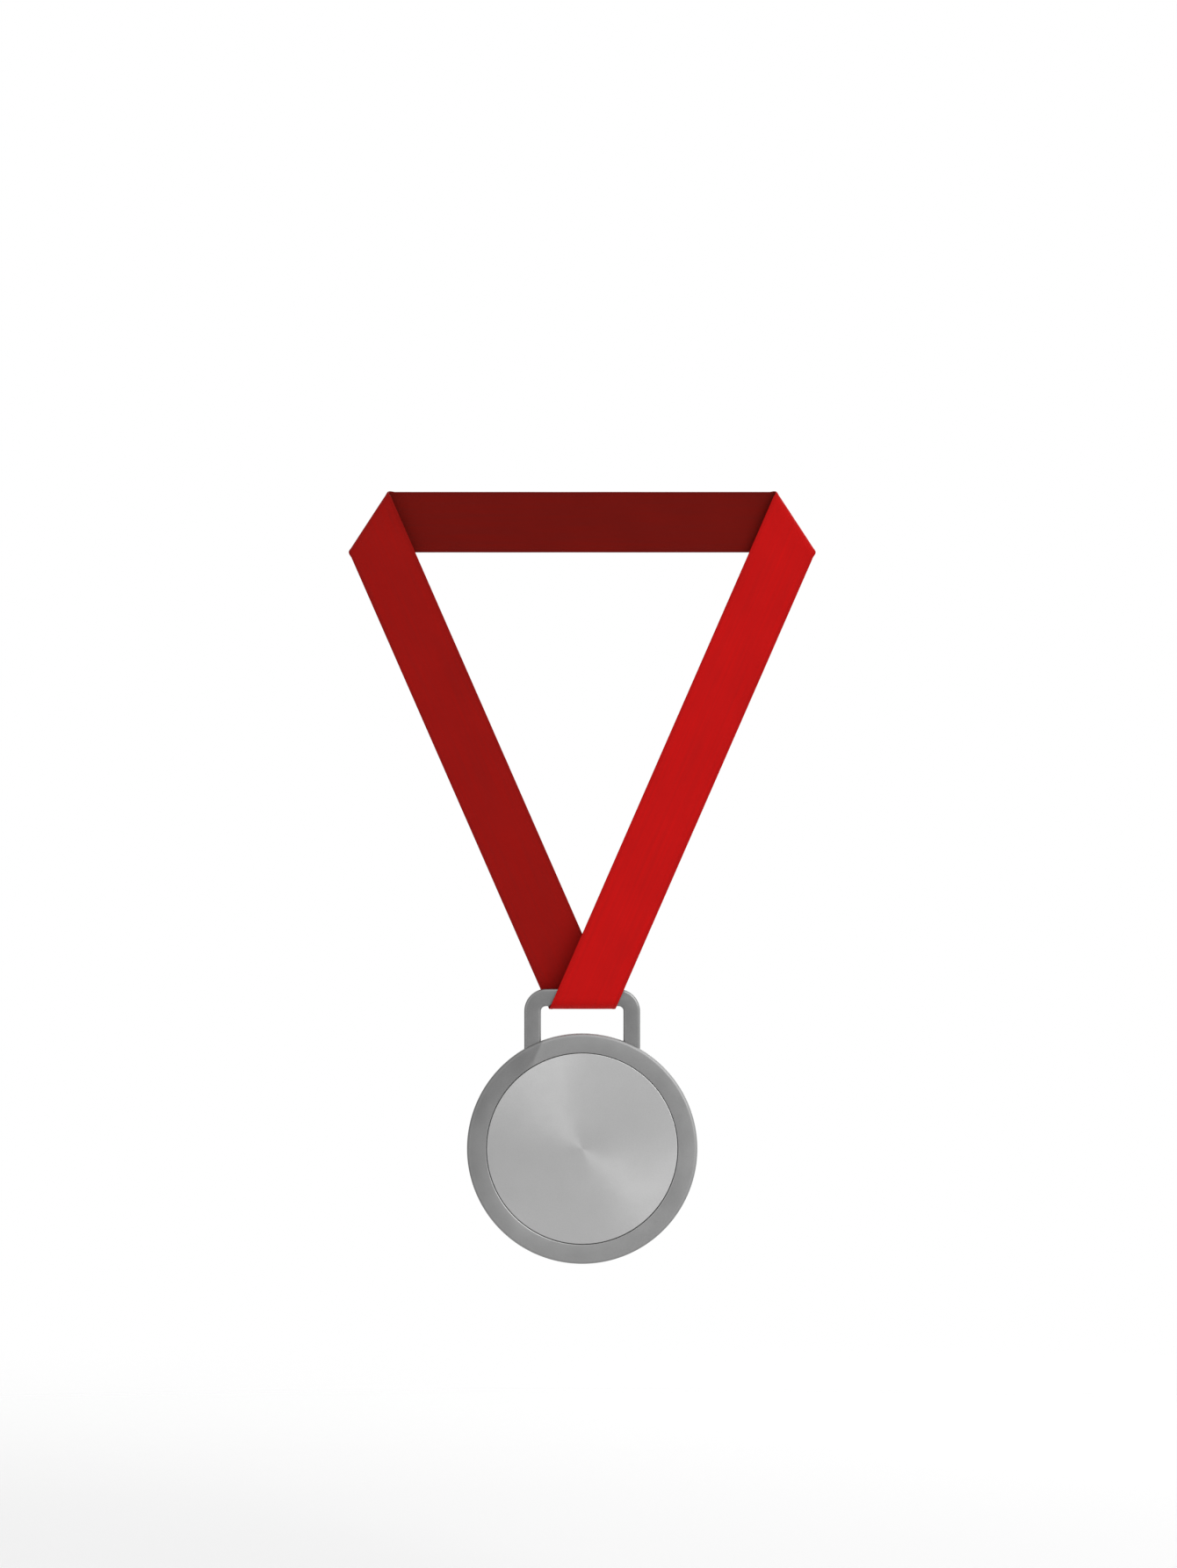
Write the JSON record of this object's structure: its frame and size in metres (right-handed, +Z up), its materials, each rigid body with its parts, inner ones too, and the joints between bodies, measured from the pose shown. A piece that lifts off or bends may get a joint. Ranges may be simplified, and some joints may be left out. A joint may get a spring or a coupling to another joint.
{
  "type": "finisher medal",
  "caption": "Round medal with a raised rim and a bright centre plate, hung by a flat rectangular bail on a folded red ribbon that goes round the neck.",
  "frame": {"origin": "middle of the neck band's inner face, where a neck or a peg carries the ribbon", "axes": "+Z up along the hanging ribbon, +X to the wearer's left as seen from the front, -Y towards the viewer"},
  "size_m": [0.1932, 0.0109, 0.3188],
  "materials": {
    "ribbon_front": "woven satin, bright side",
    "ribbon_side": "woven satin, deeper red",
    "ribbon_inner": "woven, dull dark red",
    "bail_metal": "dark satin plating",
    "rim_metal": "satin plating",
    "plate_metal": "bright spun plating",
    "film_glue": "clear adhesive film"
  },
  "bodies": {
    "ribbon": {"neck_band": "ribbon_inner", "left_strap": "ribbon_side", "right_strap": "ribbon_front", "bar_turn": "ribbon_front"},
    "medal": {"bail": "bail_metal", "medal_disc": "rim_metal", "centre_plate": "plate_metal", "adhesive_film": "film_glue"}
  },
  "joints": [
    {"name": "medal_swing", "type": "hinge", "parent": "ribbon", "child": "medal", "pos_m": [0, -0.0026, -0.19613], "axis": [1, 0, 0], "range_deg": [-100, 100]}
  ]
}
